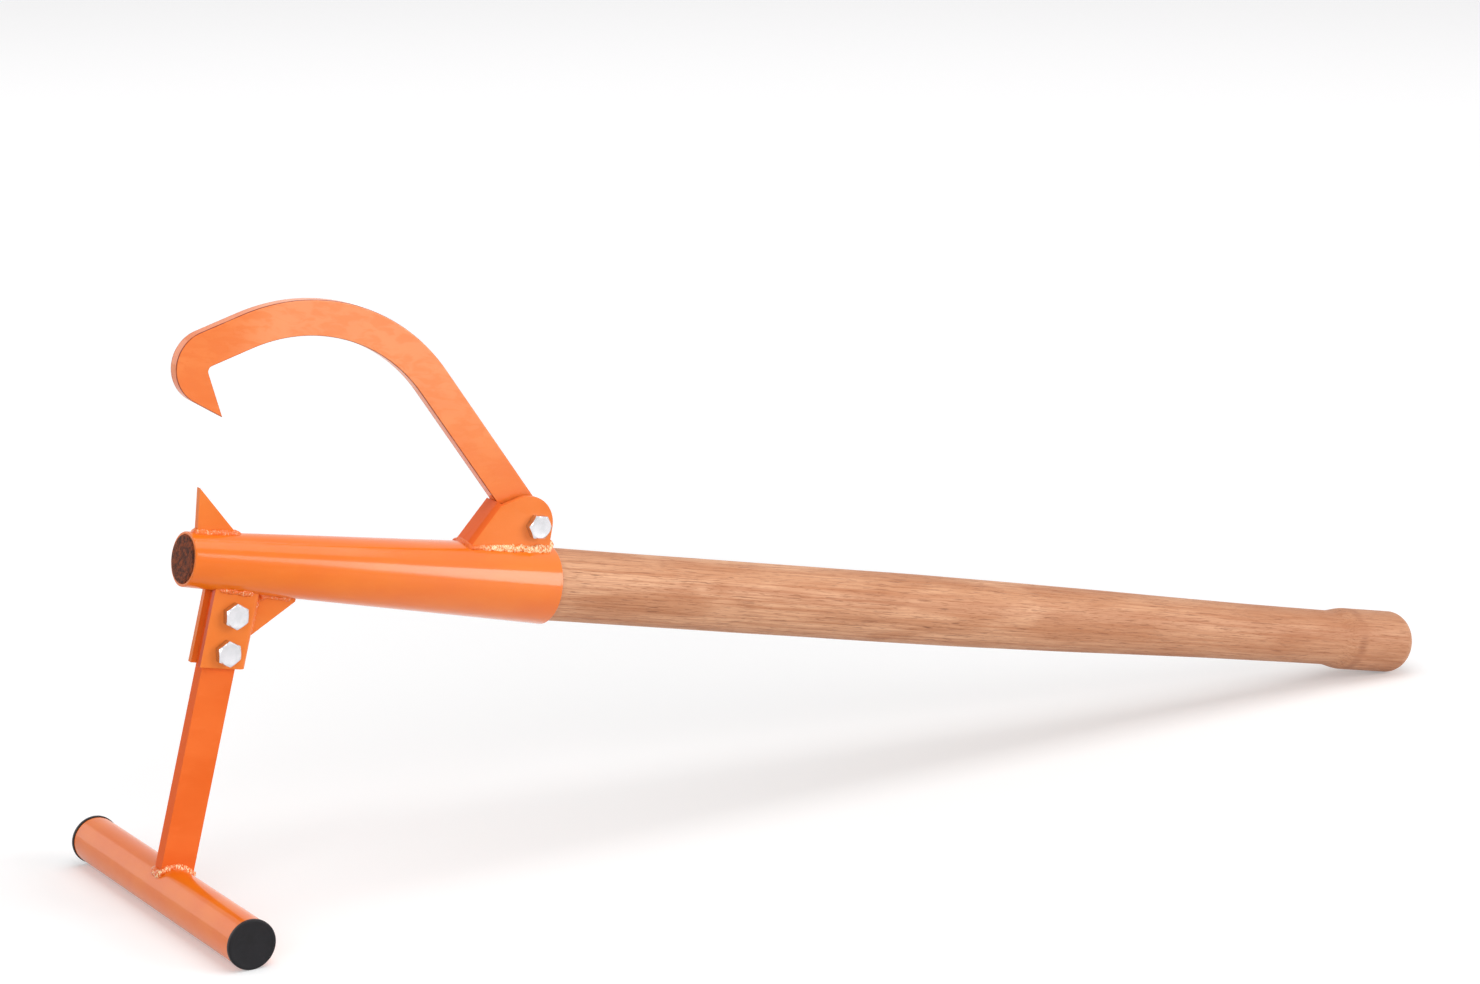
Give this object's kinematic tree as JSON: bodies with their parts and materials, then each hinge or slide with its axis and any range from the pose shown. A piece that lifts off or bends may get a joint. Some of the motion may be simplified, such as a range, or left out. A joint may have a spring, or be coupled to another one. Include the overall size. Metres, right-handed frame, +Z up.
{
  "type": "felling lever",
  "caption": "Log lever: a wooden pole in a tapered steel socket, with a swinging log hook and a bolted leg on a round T-foot.",
  "frame": {"origin": "on the floor, under the middle of the tool's overall length and width", "axes": "+X along the tool towards the butt, +Y across the hook away from the bolt heads, +Z up as it stands on the foot and the butt"},
  "size_m": [1.2114, 0.27, 0.4397],
  "materials": {
    "wood": "lightly varnished, fine lengthwise grain",
    "paint": "glossy orange paint over cut and welded steel",
    "leg_paint": "glossy deeper orange paint over cut and welded steel",
    "zinc": "bright zinc plating",
    "cap_plastic": "moulded black plastic"
  },
  "bodies": {
    "lever": {"handle": "wood", "socket": "paint", "spike": "paint", "spike_weld": "paint", "hook_clevis": "paint", "clevis_weld": "paint", "hook_bolt": "zinc", "hook_washer": "zinc", "hook_nut": "zinc", "leg_bracket": "leg_paint", "bracket_weld": "leg_paint", "gusset": "leg_paint", "gusset_weld": "leg_paint", "leg": "leg_paint", "leg_bolts": "zinc", "leg_washers": "zinc", "leg_nuts": "zinc", "foot_tube": "paint", "foot_weld": "paint", "cap_near": "cap_plastic", "cap_far": "cap_plastic"},
    "hook": {"hook": "paint"}
  },
  "joints": [
    {"name": "hook_swing", "type": "hinge", "parent": "lever", "child": "hook", "pos_m": [-0.28691, 0, 0.25105], "axis": [0, 1, 0], "range_deg": [0, 137]}
  ]
}
